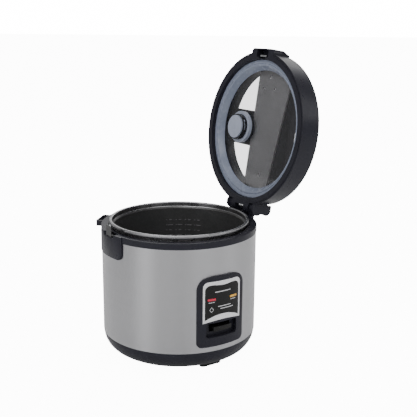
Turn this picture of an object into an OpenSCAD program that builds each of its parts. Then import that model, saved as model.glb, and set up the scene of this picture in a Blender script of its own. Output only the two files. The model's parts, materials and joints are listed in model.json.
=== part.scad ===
// Rice cooker with a spring-open hinged lid, shown with the lid open.
// The origin is on the table under the body's axis. The control panel faces -Y,
// the lid's hinge is on +X and its latch is on -X.
// Lid parts are drawn closed and turned about the hinge pin by lid_open().

/* [Body] */
// Outside radius of the brushed steel shell
shell_r = 115; // [114.5:0.1:115.3]
// Wall thickness of the steel shell
shell_t = 0.6; // [0.4:0.1:0.8]
// Height of the steel shell's lower edge above the table
shell_z0 = 34; // [33:0.5:35]
// Height of the steel shell's upper edge above the table
shell_z1 = 186; // [185.5:0.5:186]
// Height of the plastic ring that shows above the steel
ring_h = 9; // [8:0.5:9]
// How far the front and rear tongues hang below the steel's upper edge
tongue_drop = 25; // [18:1:35]
// Half of the angle that each tongue covers
tongue_half_angle = 15.3; // [14:0.1:18]
// Outside radius of the tongues
tongue_r = 118; // [117.5:0.1:118]

/* [Inner pot] */
// Outside radius of the pot's rolled rim
pot_rim_r = 103.5; // [102.5:0.5:103.5]
// Height of the rim's top above the table
pot_rim_z = 202.5; // [201:0.5:202.5]
// Outside radius of the pot's wall
pot_wall_r = 98.5; // [97:0.5:98.5]
// Thickness of the pot's wall
pot_t = 1.5; // [1:0.1:2]
// Height of the heating plate's top above the table
plate_z1 = 90; // [89.5:0.5:91]

/* [Lid] */
// Outside radius of the lid at its lower edge
lid_r = 118; // [117.5:0.5:118]
// Height of the closed lid's lower face above the table
lid_z0 = 197.5; // [197.5:0.5:198]
// Height of the closed lid's shoulder above the table
lid_z1 = 233; // [232:0.5:234]
// Distance of the hinge pin from the body's axis
hinge_x = 120; // [120:0.1:120.3]
// Height of the hinge pin above the table
hinge_z = 206; // [206:0.1:206.4]
// Angle between the closed lid and the lid at rest
open_angle = 99; // [90:1:99]
// Distance of the steam vent from the lid's centre line
vent_y = 44; // [43:0.5:45]

/* [Control panel] */
// Half of the angle that the panel covers
panel_half_angle = 19.1; // [18.8:0.1:19.5]
// Height of the panel's lower edge above the table
panel_z0 = 42; // [41:0.5:44]
// Height of the top of the panel's arch above the table
panel_z1 = 147.5; // [146:0.5:150]
// Half of the badge's width
badge_half = 31; // [30:0.5:31]
// Height of the indicator lenses above the table
lens_z = 112.3; // [111:0.1:113]
// Height of the switch lever's middle above the table
lever_z = 68.3; // [68:0.1:68.6]

/* [Hidden] */
$fn = 96;
eps = 0.01;
far = 300;

// Colours
plastic = [0.20, 0.20, 0.23];
dark_plastic = [0.10, 0.10, 0.11];
steel = [0.66, 0.66, 0.67];
aluminium = [0.75, 0.75, 0.76];
zinc = [0.70, 0.71, 0.72];
silicone = [0.62, 0.65, 0.72];
rubber = [0.06, 0.06, 0.06];
brass = [0.80, 0.65, 0.30];

// Body
ring_z1 = shell_z1 + ring_h;
shell_in_r = shell_r - shell_t;
ring_r = shell_r + 0.6;
ring_in_r = 104.5;
base_foot_r = 89;
base_foot_z = 5.5;
base_wall = 2.5;
foot_r = 86;
foot_angles = [-90, 30, 150];

// Cup that holds the pot
cup_in_r = 101;
cup_t = 0.6;
cup_z0 = plate_z1 - 14;
cup_lip_z = ring_z1 - 5.2;
cup_hole_r = 16;

// Heating plate
plate_r = 78;
plate_t = 9;
plate_z0 = plate_z1 - plate_t;
plate_hole_r = 16.5;
element_r = 55;
element_wire_r = 3.5;
standoff_r = 66;

// Thermostat
sensor_r = 14.5;
sensor_t = 1;
sensor_gap = 0.3;
sensor_travel = 1.5;
flange_z1 = cup_z0;
flange_t = 1.6;
sleeve_in_r = 7.2;
sleeve_r = 8.6;
plunger_r = 6;
plunger_rod_r = 1.8;
magnet_h = 6;
magnet_z = plate_z1 - 21.3;
sleeve_z0 = plate_z1 - 23.5;

// Switch lever
pivot_y = -90;
pivot_z = 56;
pivot_r = 2;
lever_h = 6.4;
lever_w = 30;
arm_w = 10;
slot_w = 35;
slot_h = 12;
well_z0 = 55.5;
well_z1 = 77;
well_half = 25.5;
well_r = 110;

// Panel and badge
panel_r = shell_r + 2.3;
badge_z0 = 78;
badge_z1 = 138.5;
badge_r = panel_r + 0.8;
face_half = badge_half - 2.8;
lens_x = 18;
lens_w = 12;
lens_h = 3.2;

// Mains inlet
inlet_z = 60;
inlet_w = 30;
inlet_h = 23;
inlet_depth = 16;

// Hinge
pin_r = 2.5;
pin_gap = 0.05;
ear_y0 = 22;
ear_y1 = 30;
ear_r = 8;
barrel_r = 10.2;
barrel_half = 21.5;
cheek_y0 = 30.6;
cheek_y1 = 34.5;

// Lid, drawn closed
frame_r = lid_r - 2.8;
frame_in_r = 106.8;
frame_z1 = lid_z0 + 24.5;
gasket_z = pot_rim_z + 0.7;
seat_z = lid_z0 + 15.1;
seat_r = 95.5;
glass_r = 98;
glass_t = 3.6;
glass_z1 = seat_z + glass_t;
window_r = 93.5;
cover_z0 = glass_z1 + 0.2;
band_z = lid_z1 - 9;
dome_z = lid_z1 + 3;
cover_t = 2.5;
band_edge_vent = 31;
band_edge_panel = -60;
lobe_half = 27.5;
vent_x = 1.5;
vent_tube_r = 20;
lid_screw_r = 104;
lid_screw_angles = [45, 135, 225, 315];

// Latch, drawn closed
bump_x = lid_r + 4.5;
bump_half = 27;
hole_x0 = -120.7;
hole_x1 = -109.5;
hole_half = 14;
catch_half = 8;
catch_x0 = -116.4;
catch_x1 = -115.5;
catch_tip_x = -113;
strip_x0 = -112.6;
strip_x1 = -110.2;
strip_half = 7.5;
button_half = 21;
button_z0 = lid_z0 + 16.5;
button_travel = 2.5;

// Turns the closed lid's parts to where they stand at rest
module lid_open() {
    translate([hinge_x, 0, hinge_z]) rotate([0, open_angle, 0])
        translate([-hinge_x, 0, -hinge_z]) children();
}

// Tube between two radii and two heights
module tube(r_out, r_in, z0, z1) {
    translate([0, 0, z0]) difference() {
        cylinder(h = z1 - z0, r = r_out);
        translate([0, 0, -1]) cylinder(h = z1 - z0 + 2, r = r_in);
    }
}

// Part of a tube, centred on the direction given by an angle
module sector(r_out, r_in, z0, z1, angle, half_angle) {
    rotate([0, 0, angle - half_angle]) rotate_extrude(angle = 2 * half_angle)
        translate([r_in, z0]) square([r_out - r_in, z1 - z0]);
}

// Box given by its two corners
module block(low, high) {
    translate(low) cube(high - low);
}

// Cylinder along Y between two Y values, at a point of the XZ plane
module rod_y(x, z, r, y0, y1) {
    translate([x, y0, z]) rotate([-90, 0, 0]) cylinder(h = y1 - y0, r = r);
}

// Cylinder along X between two X values
module rod_x(x0, x1, y, z, r) {
    translate([x0, y, z]) rotate([0, 90, 0]) cylinder(h = x1 - x0, r = r);
}

// Outline drawn in X and Z, run through the body's front wall
module front_extrude(y0, y1) {
    translate([0, y1, 0]) rotate([90, 0, 0]) linear_extrude(height = y1 - y0) children();
}

// Rectangle with round corners, about its centre
module round_rect(w, h, r) {
    square([w - 2 * r, h], center = true);
    square([w, h - 2 * r], center = true);
    for (sx = [-1, 1], sz = [-1, 1])
        translate([sx * (w / 2 - r), sz * (h / 2 - r)]) circle(r = r);
}

// Points of a wire wound about the Z axis
function coil_points(r, pitch, turns, per_turn) =
    [for (i = [0 : turns * per_turn]) let (a = 360 * i / per_turn)
        [r * cos(a), r * sin(a), pitch * i / per_turn]];

// Round wire along points wound about the Z axis
module coil_wire(r, wire_r, pitch, turns) {
    per_turn = 14;
    sides = 6;
    path = coil_points(r, pitch, turns, per_turn);
    last = len(path) - 1;
    rings = [for (i = [0 : last], k = [0 : sides - 1])
        let (turn = 360 * i / per_turn, side = 360 * k / sides)
        path[i] + [wire_r * cos(side) * cos(turn), wire_r * cos(side) * sin(turn), wire_r * sin(side)]];
    walls = [for (i = [0 : last - 1], k = [0 : sides - 1])
        let (m = (k + 1) % sides)
        [i * sides + k, (i + 1) * sides + k, (i + 1) * sides + m, i * sides + m]];
    start = [for (k = [0 : sides - 1]) k];
    end = [for (k = [sides - 1 : -1 : 0]) last * sides + k];
    polyhedron(points = rings, faces = concat(walls, [start], [end]), convexity = 8);
}

// ---- Body ----

module outer_shell() {
    color(steel) difference() {
        tube(shell_r, shell_in_r, shell_z0, shell_z1);
        block([-well_half - 3.2, -far, well_z0 - 3.2], [well_half + 3.2, 0, well_z1 + 3.2]);
        for (s = [-1, 1])
            block([s * lens_x - 5, -far, lens_z - 1.1], [s * lens_x + 5, 0, lens_z + 1.1]);
        block([-inlet_w / 2 - 2, 0, inlet_z - inlet_h / 2 - 2], [inlet_w / 2 + 2, far, inlet_z + inlet_h / 2 + 2]);
    }
}

// Rounded tab that shapes a tongue, as seen along X
module tongue_tab() {
    w = 2 * (tongue_r + 2) * sin(tongue_half_angle);
    h = ring_h + tongue_drop;
    r = 8;
    translate([0, ring_z1 - h / 2]) {
        translate([0, r / 2]) square([w, h - r], center = true);
        translate([0, -h / 2 + r / 2]) square([w - 2 * r, r], center = true);
        for (s = [-1, 1]) translate([s * (w / 2 - r), -h / 2 + r]) circle(r = r);
    }
}

module tongue(side) {
    intersection() {
        sector(tongue_r, shell_r + 0.05, ring_z1 - ring_h - tongue_drop, ring_z1,
            side > 0 ? 0 : 180, tongue_half_angle);
        translate([side > 0 ? 100 : -130, 0, 0]) rotate([90, 0, 90])
            linear_extrude(height = 30) tongue_tab();
    }
}

module top_ring() {
    color(plastic) difference() {
        union() {
            rotate_extrude() polygon([
                [ring_in_r, cup_lip_z + 0.6], [110, cup_lip_z + 0.6], [110, shell_z1 - 6],
                [shell_in_r - 0.2, shell_z1 - 6], [shell_in_r - 0.2, shell_z1 + 0.05],
                [ring_r, shell_z1 + 0.05], [ring_r, ring_z1 - 1], [ring_r - 1, ring_z1],
                [ring_in_r + 0.7, ring_z1], [ring_in_r, ring_z1 - 0.7]]);
            tongue(1);
            tongue(-1);
        }
        block([catch_x0 - 0.2, -hole_half, shell_z1 + 4.5], [-108.2, hole_half, far]);
    }
}

// Outline of the base, offset inwards by a wall
function base_curve(wall) =
    [for (a = [0 : 7.5 : 90])
        [base_foot_r + (shell_r - 0.4 - base_foot_r) * cos(a) - wall,
        shell_z0 - (shell_z0 - base_foot_z - wall) * sin(a)]];

module base_bowl() {
    outer = base_curve(0);
    inner = base_curve(base_wall);
    inside = [for (i = [len(inner) - 1 : -1 : 0]) inner[i]];
    color(plastic) rotate_extrude() polygon(concat(
        [[shell_in_r - 3, shell_z0 + 5], [shell_in_r - 0.2, shell_z0 + 5], [shell_in_r - 0.2, shell_z0 - 0.05],
        [shell_r - 0.4, shell_z0 - 0.05]],
        [for (i = [1 : len(outer) - 1]) outer[i]],
        [[78, base_foot_z], [78, base_foot_z + base_wall + 2], [80, base_foot_z + base_wall + 2],
        [80, base_foot_z + base_wall]],
        inside));
}

module bottom_plate() {
    slots = 18;
    color(zinc) difference() {
        union() {
            tube(77.6, 8, base_foot_z + 1.5, base_foot_z + 2.5);
            cylinder_boss();
        }
        for (i = [0 : slots - 1]) rotate([0, 0, i * 360 / slots])
            block([38, -2, 0], [62, 2, 30]);
        for (a = foot_angles) rotate([0, 0, a + 60])
            translate([72, 0, 0]) cylinder(h = 30, r = 1.8);
    }
}

// Raised middle of the bottom plate
module cylinder_boss() {
    tube(14, 8, base_foot_z + 2.5, base_foot_z + 4);
}

module bottom_screws() {
    color(zinc) for (a = foot_angles) rotate([0, 0, a + 60]) translate([72, 0, 0]) {
        translate([0, 0, base_foot_z + 0.2]) cylinder(h = 1.3, r = 3.4);
        translate([0, 0, base_foot_z + 1.4]) cylinder(h = 9, r = 1.6);
    }
}

// Rubber feet, each a bar with round ends
module feet() {
    half = 12;
    r = 5.5;
    color(rubber) for (a = foot_angles) rotate([0, 0, a]) translate([foot_r, 0, 0]) {
        translate([-r, -half, 0]) cube([2 * r, 2 * half, base_foot_z]);
        for (s = [-1, 1]) translate([0, s * half, 0]) cylinder(h = base_foot_z, r = r);
    }
}

module inner_shell() {
    color(zinc) difference() {
        rotate_extrude() polygon([
            [cup_hole_r, cup_z0], [cup_in_r + cup_t, cup_z0], [cup_in_r + cup_t, cup_lip_z],
            [108.8, cup_lip_z], [108.8, cup_lip_z + cup_t - 0.05], [cup_in_r, cup_lip_z + cup_t - 0.05],
            [cup_in_r, cup_z0 + cup_t], [cup_hole_r, cup_z0 + cup_t]]);
        for (a = [0, 120, 240]) rotate([0, 0, a]) translate([standoff_r, 0, cup_z0 - 1])
            cylinder(h = 4, r = 2.1);
        for (a = [-12, 12]) rotate([0, 0, a + 90]) translate([element_r, 0, cup_z0 - 1])
            cylinder(h = 4, r = 5);
    }
}

// Keep-warm heater wrapped round the cup
module side_heater() {
    color([0.72, 0.60, 0.45]) sector(cup_in_r + cup_t + 1.6, cup_in_r + cup_t + 0.05, 120, 165, 90, 168);
}

module heating_plate() {
    color(aluminium) difference() {
        rotate_extrude() polygon([
            [plate_hole_r, plate_z0 + 1], [40, plate_z0], [plate_r - 4, plate_z0], [plate_r, plate_z0 + 3],
            [plate_r, plate_z1 - 2], [plate_r - 2, plate_z1], [plate_hole_r, plate_z1]]);
        tube(element_r + element_wire_r + 0.05, element_r - element_wire_r - 0.05,
            plate_z0 - 1, plate_z0 + element_wire_r + 0.05);
        for (a = [0, 120, 240]) rotate([0, 0, a]) translate([standoff_r, 0, plate_z0 - 1])
            cylinder(h = 6, r = 2.1);
    }
}

module heater_element() {
    half = element_wire_r;
    color([0.35, 0.35, 0.37]) {
        sector(element_r + half, element_r - half, plate_z0 - half, plate_z0 + half, -90, 172);
        for (a = [-12, 12]) rotate([0, 0, a + 90]) translate([element_r, 0, cup_z0 - 10])
            cylinder(h = plate_z0 - cup_z0 + 9, r = half - 1);
    }
}

module plate_standoffs() {
    color(zinc) for (a = [0, 120, 240]) rotate([0, 0, a]) translate([standoff_r, 0, 0]) {
        translate([0, 0, cup_z0 + cup_t + 0.05]) cylinder(h = plate_z0 - cup_z0 - cup_t - 0.1, r = 4);
        translate([0, 0, cup_z0 - 3]) cylinder(h = 3, r = 3.5);
        translate([0, 0, cup_z0 - 1]) cylinder(h = plate_z0 - cup_z0 + 5, r = 2);
    }
}

// Fixed part of the thermostat, hung under the cup
module thermostat_sleeve() {
    color(zinc) difference() {
        union() {
            tube(sleeve_r, sleeve_in_r, sleeve_z0, plate_z1 - 8);
            tube(24, sleeve_in_r, flange_z1 - flange_t - 0.1, flange_z1 - 0.1);
            tube(sleeve_r, plunger_rod_r + 0.6, sleeve_z0, sleeve_z0 + 1.5);
        }
        for (s = [-1, 1]) translate([s * 19, 0, 60]) cylinder(h = 30, r = 1.6);
    }
}

module sensor_spring() {
    wire_r = 0.6;
    z0 = flange_z1 + wire_r + 0.05;
    z1 = plate_z1 - sensor_gap - sensor_t - wire_r - 0.3;
    turns = 4;
    color(zinc) translate([0, 0, z0]) coil_wire(11, wire_r, (z1 - z0) / turns, turns);
}

// Sprung cap that touches the pot's base, with the ferrite disc inside it
module sensor_cap() {
    top = plate_z1 - sensor_gap;
    color(aluminium) {
        translate([0, 0, top - sensor_t]) cylinder(h = sensor_t, r = sensor_r);
        tube(sensor_r, sensor_r - 0.8, flange_z1 + 4, top - sensor_t + eps);
        translate([0, 0, top - sensor_t - 3]) cylinder(h = 3 + eps, r = plunger_r);
    }
}

// Magnet and the rod that the switch lever lifts
module magnet_plunger() {
    color([0.25, 0.25, 0.27]) {
        translate([0, 0, magnet_z]) cylinder(h = magnet_h, r = plunger_r);
        translate([0, 0, pivot_z + 0.7]) cylinder(h = magnet_z - pivot_z, r = plunger_rod_r);
    }
}

module micro_switch() {
    color(dark_plastic) difference() {
        block([18, -38, 44], [38, -28, 60]);
        for (z = [48, 56]) rod_y(28, z, 1.5, -40, -26);
    }
    color(brass) for (x = [22, 34]) block([x - 0.4, -35, 38], [x + 0.4, -31, 44.5]);
    color(zinc) {
        block([18, -36, 60], [38, -29, 60.8]);
        block([18, -29.8, 60.7], [38, -29, cup_z0 - 0.1]);
    }
}

module thermal_fuse() {
    color([0.85, 0.82, 0.70]) rod_x(-42, -22, 40, cup_z0 - 6, 3);
    color(zinc) {
        rod_x(-56, -41, 40, cup_z0 - 6, 0.7);
        rod_x(-23, -8, 40, cup_z0 - 6, 0.7);
    }
}

module terminal_block() {
    color([0.90, 0.88, 0.82]) difference() {
        block([-22, 66, 34], [22, 78, 46]);
        for (i = [-1.5 : 1 : 1.5]) rod_y(i * 10, 40, 2, 60, 84);
    }
    color(zinc) {
        for (i = [-1.5 : 1 : 1.5]) translate([i * 10, 72, 46]) cylinder(h = 1.5, r = 2);
        block([-22, 78, 36], [22, 79, cup_z0 - 0.1]);
    }
}

module mains_inlet() {
    y1 = shell_r + 2.6;
    y0 = y1 - inlet_depth - 2;
    color(dark_plastic) difference() {
        union() {
            intersection() {
                sector(shell_r + 2.6, shell_r + 0.05, inlet_z - 18, inlet_z + 18, 90, 12);
                translate([0, far, inlet_z]) rotate([90, 0, 0]) linear_extrude(height = far)
                    round_rect(44, 33, 4);
            }
            translate([0, y1 - 2.8, inlet_z]) rotate([90, 0, 0])
                linear_extrude(height = y1 - 2.8 - y0) round_rect(inlet_w + 3, inlet_h + 3, 3);
        }
        translate([0, far, inlet_z]) rotate([90, 0, 0])
            linear_extrude(height = far - y0 - 2) round_rect(inlet_w, inlet_h, 2.5);
        for (x = [-8, 0, 8]) rod_y(x, x == 0 ? inlet_z + 4 : inlet_z - 3, 2, y0 - 5, y0 + 5);
    }
}

module inlet_pins() {
    y1 = shell_r + 2.6;
    y0 = y1 - inlet_depth - 2;
    color(brass) for (x = [-8, 0, 8])
        rod_y(x, x == 0 ? inlet_z + 4 : inlet_z - 3, 2, y0 - 7, y1 - 5);
}

// ---- Control panel ----

// Outline of the panel, seen from the front: a rounded board under a shallow arch
module panel_outline() {
    half = panel_r * sin(panel_half_angle);
    arch_r = 91;
    shoulder_r = 20;
    foot_r = 7;
    tall = 2 * (panel_z1 - panel_z0);
    intersection() {
        translate([0, panel_z1 - arch_r]) circle(r = arch_r);
        translate([0, panel_z1 - 1.5 - tall / 2]) round_rect(2 * half, tall, shoulder_r);
        translate([0, panel_z0 + tall / 2]) round_rect(2 * half, tall, foot_r);
    }
}

module control_panel() {
    color(plastic) difference() {
        union() {
            intersection() {
                sector(panel_r, shell_r + 0.05, panel_z0 - 1, panel_z1 + 1, -90, panel_half_angle + 3);
                front_extrude(-140, -80) panel_outline();
            }
            intersection() {
                sector(shell_r + 1.5, well_r - 2.5, well_z0 - 3, well_z1 + 3, -90, 16);
                block([-well_half - 3, -far, well_z0 - 3], [well_half + 3, 0, well_z1 + 3]);
            }
        }
        intersection() {
            tube(140, well_r, well_z0, well_z1);
            front_extrude(-140, -80) translate([0, (well_z0 + well_z1) / 2])
                round_rect(2 * well_half, well_z1 - well_z0, 4);
        }
        block([-slot_w / 2, -140, lever_z - slot_h / 2], [slot_w / 2, -90, lever_z + slot_h / 2]);
        for (s = [-1, 1])
            block([s * lens_x - 4, -140, lens_z - 1], [s * lens_x + 4, -90, lens_z + 1]);
    }
}

// Outline of the badge: rise arches its lower edge up, dip lowers the middle of its top
module badge_outline(half, z0, z1, rise, dip) {
    corner_r = 8;
    difference() {
        union() {
            translate([-half, z0]) square([2 * half, z1 - z0 - corner_r]);
            translate([-half + corner_r, z0]) square([2 * (half - corner_r), z1 - z0]);
            for (s = [-1, 1]) translate([s * (half - corner_r), z1 - corner_r]) circle(r = corner_r);
        }
        reach = half + 1;
        bottom_r = (reach * reach + rise * rise) / (2 * rise);
        translate([0, z0 + rise - bottom_r]) circle(r = bottom_r);
        if (dip > 0) {
            top_r = (half * half / 4 + dip * dip) / (2 * dip);
            translate([0, z1 - dip + top_r]) circle(r = top_r);
        }
    }
}

module badge_frame() {
    color([0.82, 0.82, 0.84]) difference() {
        intersection() {
            sector(badge_r, panel_r + 0.02, badge_z0 - 1, badge_z1 + 1, -90, 17);
            front_extrude(-140, -80) badge_outline(badge_half, badge_z0, badge_z1, 3.5, 0);
        }
        front_extrude(-140, -80) badge_outline(face_half, badge_z0 + 3.5, badge_z1 - 5, 8, 1.4);
    }
}

module badge_face() {
    color([0.03, 0.03, 0.03]) difference() {
        intersection() {
            sector(panel_r + 0.4, panel_r + 0.02, badge_z0, badge_z1, -90, 17);
            front_extrude(-140, -80)
                badge_outline(face_half - 0.1, badge_z0 + 3.6, badge_z1 - 5.1, 8, 1.4);
        }
        for (s = [-1, 1])
            block([s * lens_x - lens_w / 2, -140, lens_z - lens_h / 2],
                [s * lens_x + lens_w / 2, -80, lens_z + lens_h / 2]);
    }
}

// Indicator lens set in the badge's face
module lens(x) {
    inset = 0.1;
    intersection() {
        sector(panel_r + 1, panel_r + 0.02, lens_z - 4, lens_z + 4, -90, 17);
        block([x - lens_w / 2 + inset, -140, lens_z - lens_h / 2 + inset],
            [x + lens_w / 2 - inset, -80, lens_z + lens_h / 2 - inset]);
    }
}

module cook_lens() {
    color([0.75, 0.05, 0.12]) lens(-lens_x);
}

module warm_lens() {
    color([0.95, 0.62, 0.10]) lens(lens_x);
}

module lamp_board() {
    color([0.55, 0.42, 0.22]) {
        block([-28, -105.3, lens_z - 8], [28, -103.7, lens_z + 8]);
        for (x = [-26, 26]) rod_y(x, lens_z - 6, 1.5, -111.2, -105.2);
    }
}

module indicator_lamps() {
    color([0.95, 0.85, 0.75]) for (s = [-1, 1])
        rod_y(s * lens_x, lens_z, 2.4, -110, -105.4);
}

// ---- Cooking switch ----

module lever_pivot() {
    color(zinc) {
        rod_x(-11, 11, pivot_y, pivot_z, pivot_r);
        difference() {
            for (s = [-1, 1])
                block([s > 0 ? 7 : -9, pivot_y - 6, pivot_z - 6], [s > 0 ? 9 : -7, pivot_y + 6, cup_z0 - 0.1]);
            rod_x(-12, 12, pivot_y, pivot_z, pivot_r);
        }
    }
}

module switch_lever() {
    color(dark_plastic) difference() {
        union() {
            intersection() {
                block([-lever_w / 2, -118.6, lever_z - lever_h / 2], [lever_w / 2, -104, lever_z + lever_h / 2]);
                cylinder(h = 100, r = 118.4);
            }
            block([-arm_w / 2, -106, pivot_z - 4], [arm_w / 2, -103, lever_z]);
            block([-arm_w / 2, -106, pivot_z - 4], [arm_w / 2, 5, pivot_z]);
            rod_x(-6.5, 6.5, pivot_y, pivot_z, 4.5);
        }
        rod_x(-20, 20, pivot_y, pivot_z, pivot_r + pin_gap);
    }
}

module lever_spring() {
    color(zinc) translate([0, -60, cup_z0 - 15.4]) coil_wire(3.2, 0.45, 2.4, 6);
}

// ---- Fittings round the top ----

// Flat loop that a rice paddle stands in
module paddle_loop() {
    reach = 9;
    wall = 1.9;
    half = 19;
    z0 = ring_z1 - 8.5;
    color(plastic) rotate([0, 0, 135]) difference() {
        translate([0, 0, z0]) linear_extrude(height = ring_z1 - 0.5 - z0) difference() {
            union() {
                translate([ring_r - 3, -half]) square([reach + 3 - 4, 2 * half]);
                translate([ring_r - 3, -half + 4]) square([reach + 3, 2 * half - 8]);
                for (s = [-1, 1]) translate([ring_r + reach - 4, s * (half - 4)]) circle(r = 4);
            }
            circle(r = ring_r + 0.05);
            translate([100, -half + 3]) square([ring_r + reach - wall - 100, 2 * half - 6]);
        }
    }
}

module latch_catch() {
    floor_z = shell_z1 + 4.5;
    color(zinc) {
        block([catch_x0, -catch_half, floor_z + 0.05], [catch_x1 + 5, catch_half, floor_z + 2]);
        block([catch_x0, -catch_half, floor_z + 0.05], [catch_x1, catch_half, lid_z0 + 8]);
        translate([0, catch_half, 0]) rotate([90, 0, 0]) linear_extrude(height = 2 * catch_half)
            polygon([[catch_x1 - eps, lid_z0 + 5.5], [catch_tip_x, lid_z0 + 5.5],
                [catch_tip_x, lid_z0 + 6], [catch_x1 - eps, lid_z0 + 8]]);
    }
}

module hinge_ears() {
    color(plastic) for (s = [-1, 1]) {
        y0 = s > 0 ? ear_y0 : -ear_y1;
        y1 = s > 0 ? ear_y1 : -ear_y0;
        difference() {
            union() {
                rod_y(hinge_x, hinge_z, ear_r, y0, y1);
                block([hinge_x - 7, y0, ring_z1 + 0.05], [hinge_x + 3, y1, hinge_z]);
            }
            rod_y(hinge_x, hinge_z, pin_r, y0 - 1, y1 + 1);
        }
    }
    color(plastic) hinge_sill();
}

// Low sill on the ring's edge that closes the gap under the lid's knuckles
module hinge_sill() {
    half = ear_y0 - 0.2;
    sill_h = 0.35;
    skirt = 6;
    difference() {
        block([hinge_x - 7, -half, ring_z1 - skirt], [hinge_x + 3, half, ring_z1 + sill_h]);
        translate([0, 0, ring_z1 - skirt - 1]) cylinder(h = skirt + 1.05, r = tongue_r + 0.1);
    }
}

module hinge_pin() {
    color(steel) rod_y(hinge_x, hinge_z, pin_r, -ear_y1 - 0.3, ear_y1 + 0.3);
}

// Torsion spring round the pin, in the slot between the lid's knuckles
module hinge_spring() {
    color(steel) translate([hinge_x, -8.5, hinge_z]) rotate([-90, 0, 0])
        coil_wire(4.6, 0.7, 1.9, 9);
}

// ---- Inner pot ----

module inner_pot() {
    z0 = plate_z1 + 0.2;
    corner = 14;
    wall = pot_wall_r;
    inner = wall - pot_t;
    neck = 11;
    color(aluminium) rotate_extrude() polygon(concat(
        [[0, z0]],
        [for (a = [-90 : 10 : 0]) [wall - corner + corner * cos(a), z0 + corner + corner * sin(a)]],
        [[wall, pot_rim_z - neck], [wall + 2.6, pot_rim_z - neck + 3.4], [wall + 2.6, pot_rim_z - 5.5],
        [pot_rim_r - 0.4, pot_rim_z - 4.6], [pot_rim_r, pot_rim_z - 3.6], [pot_rim_r, pot_rim_z - 0.8],
        [pot_rim_r - 0.8, pot_rim_z], [wall + 1.6, pot_rim_z], [wall + 0.8, pot_rim_z - 1],
        [wall + 0.8, pot_rim_z - neck + 4], [inner, pot_rim_z - neck + 0.6]],
        [for (a = [0 : -10 : -90]) [wall - corner + (corner - pot_t) * cos(a),
            z0 + corner + (corner - pot_t) * sin(a)]],
        [[0, z0 + pot_t]]));
}

// ---- Lid, drawn closed ----

// Outline of the openings beside the lid's band
module window_outline() {
    difference() {
        circle(r = window_r);
        translate([-far, band_edge_panel]) square([2 * far, band_edge_vent - band_edge_panel]);
        translate([vent_x - lobe_half, 0]) square([2 * lobe_half, far]);
    }
}

// Rim and dome of the cover as one solid of revolution
module cover_form() {
    round_r = 4;
    shoulder_r = lid_r - 1.5;
    color(plastic) rotate_extrude() polygon(concat(
        [[0, band_z], [window_r, band_z], [window_r, cover_z0], [window_r + cover_t, cover_z0],
        [window_r + cover_t, lid_z1 - 3.5], [lid_r - cover_t - 1.4, lid_z1 - 3.5],
        [lid_r - cover_t, lid_z0 + 0.5], [lid_r, lid_z0 + 0.5]],
        [for (a = [0 : 15 : 90]) [shoulder_r - round_r + round_r * cos(a), lid_z1 - round_r + round_r * sin(a)]],
        [[window_r, lid_z1 + 0.6], [60, dome_z - 0.8], [30, dome_z - 0.2], [0, dome_z]]));
}

// Hinge cover: a round-ended visor over the pin with a cheek at each side
module hinge_visor() {
    z0 = hinge_z + 11;
    z1 = lid_z1 - 1;
    difference() {
        union() {
            translate([0, cheek_y1, 0]) rotate([90, 0, 0]) linear_extrude(height = 2 * cheek_y1) hull() {
                translate([hinge_x - 6, z0]) square([6, z1 - z0]);
                translate([hinge_x + 2, z0 + 6]) circle(r = 6, $fn = 32);
                translate([hinge_x + 2, z1 - 8]) circle(r = 8, $fn = 32);
            }
            for (s = [-1, 1]) {
                y0 = s > 0 ? cheek_y0 : -cheek_y1;
                y1 = s > 0 ? cheek_y1 : -cheek_y0;
                rod_y(hinge_x, hinge_z, 10.4, y0, y1);
                block([hinge_x - 10.4, y0, hinge_z], [hinge_x + 8, y1, z0 + 4]);
            }
        }
        cylinder(h = frame_z1 + 0.3, r = lid_r - cover_t);
    }
}

module lid_cover() {
    color(plastic) lid_open() difference() {
        union() {
            cover_form();
            hinge_visor();
            for (a = lid_screw_angles) rotate([0, 0, a]) translate([lid_screw_r, 0, seat_z + 0.2])
                cylinder(h = lid_z1 - seat_z - 2, r = 4);
        }
        for (a = lid_screw_angles) rotate([0, 0, a]) translate([lid_screw_r, 0, 0])
            cylinder(h = seat_z + 10, r = 1.6);
        translate([0, 0, -1]) linear_extrude(height = button_z0 + 0.6) bump_outline(0.3);
        translate([0, 0, cover_z0 - 1]) linear_extrude(height = far) window_outline();
        difference() {
            translate([0, 0, band_z - 1]) linear_extrude(height = dome_z - band_z - 2.5)
                intersection() {
                    circle(r = window_r - 3);
                    band_plate_outline(3);
                }
            for (p = band_screw_points) translate([p[0], p[1], 0]) cylinder(h = far, r = 3.6);
        }
        for (p = band_screw_points) translate([p[0], p[1], band_z - 2]) cylinder(h = 8, r = 1.4);
        translate([vent_x, vent_y, 0]) cylinder(h = dome_z - 3, r = vent_tube_r + 0.2);
        translate([vent_x, vent_y, 0]) cylinder(h = far, r = 14);
        button_room();
        ear_room();
        translate([hinge_x, 0, 0]) block([-14, -barrel_half - 0.3, 0], [-2, barrel_half + 0.3, hinge_z + 10.8]);
        rod_y(hinge_x, hinge_z, barrel_r + 0.4, -barrel_half - 0.3, barrel_half + 0.3);
        rod_y(hinge_x, hinge_z, pin_r + 0.5, -ear_y1 - 0.6, ear_y1 + 0.6);
    }
}

// Screws of the band: three in a triangle near the latch and one near the hinge
band_screw_points = [[-82, 0], [-64, -13.5], [-64, 13.5], [69.5, -6]];

// Space that the release button moves in
module button_room() {
    half = button_half + 0.5;
    block([-far, -half, button_z0 - 0.5], [-105 + button_travel + 0.5, half, far]);
}

// Space that the hinge ears sweep as the lid opens
module ear_room() {
    for (s = [-1, 1]) {
        y0 = s > 0 ? ear_y0 - 0.3 : -ear_y1 - 0.4;
        y1 = s > 0 ? ear_y1 + 0.4 : -ear_y0 + 0.3;
        rod_y(hinge_x, hinge_z, ear_r + 0.6, y0, y1);
        block([hinge_x - 7.6, y0, 0], [hinge_x + 40, y1, hinge_z]);
    }
}

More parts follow.
